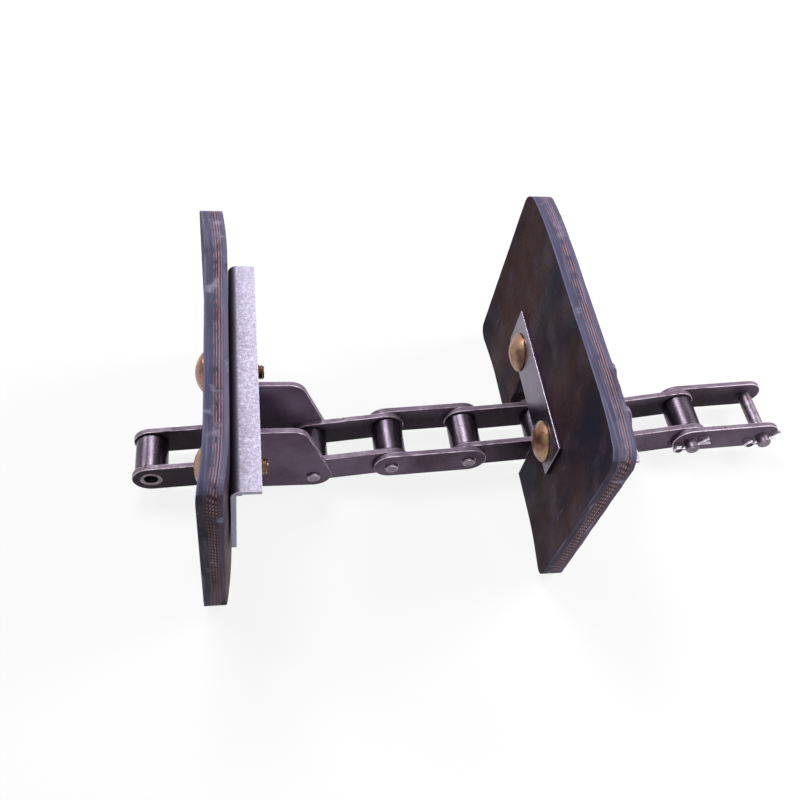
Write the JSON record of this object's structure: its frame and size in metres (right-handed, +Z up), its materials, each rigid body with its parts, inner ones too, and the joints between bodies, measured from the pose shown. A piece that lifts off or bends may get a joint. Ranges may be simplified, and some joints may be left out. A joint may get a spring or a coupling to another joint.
{
  "type": "paddle conveyor chain",
  "caption": "Strand of steel roller chain for a grain elevator, with notched rubber paddles bolted between a strip and an angle to bent-wing side plates, and a cottered joining link.",
  "frame": {"origin": "centre of the free bush's bore at the start of the strand, halfway between its side plates", "axes": "+X along the strand towards the connecting link, +Y along the pins away from the cotters, +Z up through the paddles"},
  "size_m": [0.3502, 0.164, 0.1123],
  "materials": {
    "chain_steel": "dark oiled, bright worn edges",
    "roller_steel": "dark, rubbed smooth",
    "pin_steel": "riveted, dull",
    "rubber": "dull ply belting",
    "galvanised_steel": "galvanised, mottled",
    "strip_steel": "galvanised, dull",
    "plated_bolt": "yellow passivated zinc",
    "cotter_steel": "bright wire"
  },
  "bodies": {
    "inner_link_1": {"inner_link_1_near_plate": "chain_steel", "inner_link_1_far_plate": "chain_steel", "inner_link_1_bushes": "chain_steel"},
    "roller_1": {"inner_link_1_first_roller": "roller_steel"},
    "roller_2": {"inner_link_1_last_roller": "roller_steel"},
    "attachment_link_1": {"attachment_link_1_near_plate": "chain_steel", "attachment_link_1_far_plate": "chain_steel", "attachment_link_1_pins": "pin_steel", "attachment_link_1_paddle": "rubber", "attachment_link_1_angle": "galvanised_steel", "attachment_link_1_strip": "strip_steel", "attachment_link_1_bolts": "plated_bolt", "attachment_link_1_nuts": "plated_bolt"},
    "inner_link_2": {"inner_link_2_near_plate": "chain_steel", "inner_link_2_far_plate": "chain_steel", "inner_link_2_bushes": "chain_steel"},
    "roller_3": {"inner_link_2_first_roller": "roller_steel"},
    "roller_4": {"inner_link_2_last_roller": "roller_steel"},
    "outer_link_1": {"outer_link_1_near_plate": "chain_steel", "outer_link_1_far_plate": "chain_steel", "outer_link_1_pins": "pin_steel"},
    "inner_link_3": {"inner_link_3_near_plate": "chain_steel", "inner_link_3_far_plate": "chain_steel", "inner_link_3_bushes": "chain_steel"},
    "roller_5": {"inner_link_3_first_roller": "roller_steel"},
    "roller_6": {"inner_link_3_last_roller": "roller_steel"},
    "attachment_link_2": {"attachment_link_2_near_plate": "chain_steel", "attachment_link_2_far_plate": "chain_steel", "attachment_link_2_pins": "pin_steel", "attachment_link_2_paddle": "rubber", "attachment_link_2_angle": "galvanised_steel", "attachment_link_2_strip": "strip_steel", "attachment_link_2_bolts": "plated_bolt", "attachment_link_2_nuts": "plated_bolt"},
    "inner_link_4": {"inner_link_4_near_plate": "chain_steel", "inner_link_4_far_plate": "chain_steel", "inner_link_4_bushes": "chain_steel"},
    "roller_7": {"inner_link_4_first_roller": "roller_steel"},
    "roller_8": {"inner_link_4_last_roller": "roller_steel"},
    "connecting_link_1": {"connecting_link_1_near_plate": "chain_steel", "connecting_link_1_far_plate": "chain_steel", "connecting_link_1_pins": "pin_steel", "connecting_link_1_cotters": "cotter_steel"}
  },
  "joints": [
    {"name": "link_hinge_1", "type": "hinge", "parent": "inner_link_1", "child": "attachment_link_1", "pos_m": [0.0414, 0, 0], "axis": [0, 1, 0], "range_deg": [-20.5, 34.5]},
    {"name": "link_hinge_2", "type": "hinge", "parent": "attachment_link_1", "child": "inner_link_2", "pos_m": [0.08261, 0, -0.00397], "axis": [0, 1, 0], "range_deg": [-5.5, 49.5]},
    {"name": "link_hinge_3", "type": "hinge", "parent": "inner_link_2", "child": "outer_link_1", "pos_m": [0.12391, 0, -0.00108], "axis": [0, 1, 0], "range_deg": [-19, 36]},
    {"name": "link_hinge_4", "type": "hinge", "parent": "outer_link_1", "child": "inner_link_3", "pos_m": [0.16531, 0, -0.00108], "axis": [0, 1, 0], "range_deg": [-13.5, 41.5]},
    {"name": "link_hinge_5", "type": "hinge", "parent": "inner_link_3", "child": "attachment_link_2", "pos_m": [0.20669, 0, 0], "axis": [0, 1, 0], "range_deg": [-22, 33]},
    {"name": "link_hinge_6", "type": "hinge", "parent": "attachment_link_2", "child": "inner_link_4", "pos_m": [0.2479, 0, -0.00396], "axis": [0, 1, 0], "range_deg": [-3.5, 51.5]},
    {"name": "link_hinge_7", "type": "hinge", "parent": "inner_link_4", "child": "connecting_link_1", "pos_m": [0.28908, 0, 0.00036], "axis": [0, 1, 0], "range_deg": [-21, 34]},
    {"name": "roller_1_spin", "type": "hinge", "parent": "inner_link_1", "child": "roller_1", "pos_m": [0, 0, 0], "axis": [0, 1, 0], "continuous": true},
    {"name": "roller_2_spin", "type": "hinge", "parent": "inner_link_1", "child": "roller_2", "pos_m": [0.0414, 0, 0], "axis": [0, 1, 0], "continuous": true},
    {"name": "roller_3_spin", "type": "hinge", "parent": "inner_link_2", "child": "roller_3", "pos_m": [0.08261, 0, -0.00397], "axis": [0, 1, 0], "continuous": true},
    {"name": "roller_4_spin", "type": "hinge", "parent": "inner_link_2", "child": "roller_4", "pos_m": [0.12391, 0, -0.00108], "axis": [0, 1, 0], "continuous": true},
    {"name": "roller_5_spin", "type": "hinge", "parent": "inner_link_3", "child": "roller_5", "pos_m": [0.16531, 0, -0.00108], "axis": [0, 1, 0], "continuous": true},
    {"name": "roller_6_spin", "type": "hinge", "parent": "inner_link_3", "child": "roller_6", "pos_m": [0.20669, 0, 0], "axis": [0, 1, 0], "continuous": true},
    {"name": "roller_7_spin", "type": "hinge", "parent": "inner_link_4", "child": "roller_7", "pos_m": [0.2479, 0, -0.00396], "axis": [0, 1, 0], "continuous": true},
    {"name": "roller_8_spin", "type": "hinge", "parent": "inner_link_4", "child": "roller_8", "pos_m": [0.28908, 0, 0.00036], "axis": [0, 1, 0], "continuous": true}
  ]
}
